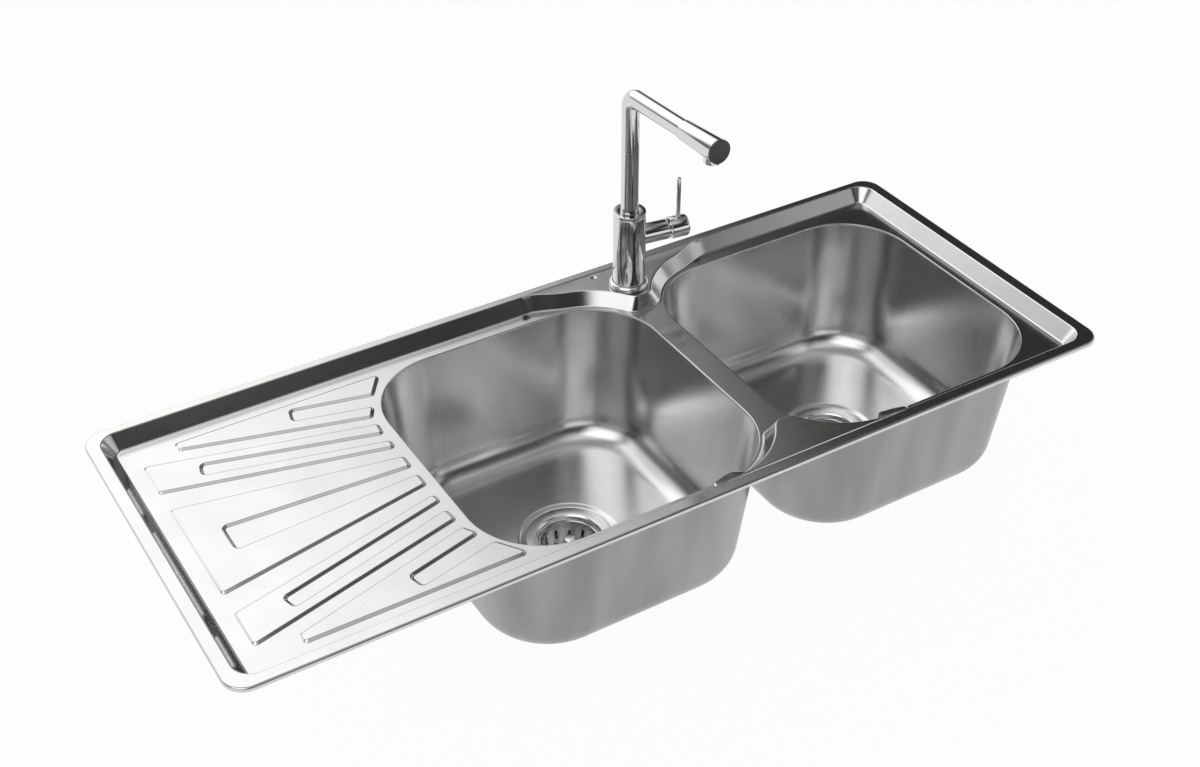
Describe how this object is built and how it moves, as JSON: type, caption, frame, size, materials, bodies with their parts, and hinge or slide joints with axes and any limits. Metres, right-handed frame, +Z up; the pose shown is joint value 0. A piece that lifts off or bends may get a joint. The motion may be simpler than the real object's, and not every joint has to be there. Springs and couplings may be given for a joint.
{
  "type": "double bowl kitchen sink",
  "caption": "Inset stainless steel kitchen sink with equal bowls, a ribbed drainer, basket wastes and a single-lever mixer tap with a swivel spout.",
  "frame": {"origin": "middle of the rim's rectangle, at the rim's upper face and over the centre of the worktop cut-out", "axes": "+X along the worktop from the drainer to the bowls, +Y to the wall behind the tap, +Z up"},
  "size_m": [1.18, 0.48, 0.5797],
  "materials": {
    "brushed_top": "brushed stainless steel, satin",
    "satin_bowl": "satin stainless steel",
    "polished_steel": "polished stainless steel",
    "chrome": "mirror chrome plate on brass",
    "dark_cap": "dark grey moulded nylon",
    "black_rubber": "matt black rubber",
    "plastic": "matt white nylon",
    "ceramic": "lapped white ceramic",
    "brass": "bare turned brass",
    "plain_steel": "plain zinc-coated steel"
  },
  "bodies": {
    "sink": {"sink_top": "brushed_top", "left_bowl": "satin_bowl", "right_bowl": "satin_bowl", "left_waste_cup": "polished_steel", "right_waste_cup": "polished_steel", "tap_body": "chrome", "tap_base_ring": "chrome", "spout_ring_nut": "chrome", "valve_dome": "chrome", "rim_seal": "black_rubber", "left_waste_top_seal": "black_rubber", "right_waste_top_seal": "black_rubber", "left_waste_gasket": "black_rubber", "right_waste_gasket": "black_rubber", "tap_base_gasket": "black_rubber", "shank_rubber_washer": "black_rubber", "cartridge_seal": "black_rubber", "left_waste_slip_ring": "plastic", "right_waste_slip_ring": "plastic", "left_waste_lock_nut": "plastic", "right_waste_lock_nut": "plastic", "spout_slip_ring": "plastic", "spout_bush": "plastic", "cartridge_body": "plastic", "fixed_disc": "ceramic", "tap_shank": "brass", "shank_nut": "brass", "cartridge_nut": "brass", "shank_steel_washer": "plain_steel"},
    "spout": {"spout_foot": "brass", "spout_lower_o_ring": "black_rubber", "spout_upper_o_ring": "black_rubber", "spout_tube": "chrome", "spout_sleeve": "chrome", "spout_end_cap": "dark_cap", "aerator_housing": "chrome", "aerator_seal": "black_rubber", "aerator_insert": "plastic"},
    "turret": {"cartridge_turret": "plastic", "spindle_pin": "polished_steel"},
    "handle": {"cartridge_spindle": "polished_steel", "handle_hood": "chrome", "lever_rod": "chrome", "handle_grub_screw": "polished_steel"},
    "valve_disc": {"moving_disc": "ceramic"},
    "left_basket": {"left_basket": "polished_steel", "left_basket_stem": "polished_steel", "left_basket_stopper": "black_rubber", "left_basket_clip": "polished_steel"},
    "right_basket": {"right_basket": "polished_steel", "right_basket_stem": "polished_steel", "right_basket_stopper": "black_rubber", "right_basket_clip": "polished_steel"}
  },
  "joints": [
    {"name": "spout_swivel", "type": "hinge", "parent": "sink", "child": "spout", "pos_m": [0.14, 0.183, 0.09], "axis": [0, 0, 1], "range_deg": [-110, 110]},
    {"name": "lever_turn", "type": "hinge", "parent": "sink", "child": "turret", "pos_m": [0.18357, 0.17688, 0.072], "axis": [0.9903, -0.1392, 0], "range_deg": [-45, 45]},
    {"name": "lever_pull", "type": "hinge", "parent": "turret", "child": "handle", "pos_m": [0.18357, 0.17688, 0.072], "axis": [0.1392, 0.9903, 0], "range_deg": [0, 20]},
    {"name": "disc_slide", "type": "slide", "parent": "turret", "child": "valve_disc", "axis": [0, 0, 1], "range_m": [0, 0.0033]},
    {"name": "left_basket_lift", "type": "slide", "parent": "sink", "child": "left_basket", "axis": [0, 0, 1], "range_m": [0, 0.06]},
    {"name": "right_basket_lift", "type": "slide", "parent": "sink", "child": "right_basket", "axis": [0, 0, 1], "range_m": [0, 0.06]}
  ],
  "couplings": [
    {"joint": "disc_slide", "follows": "lever_pull", "m_per_rad": 0.00921}
  ]
}
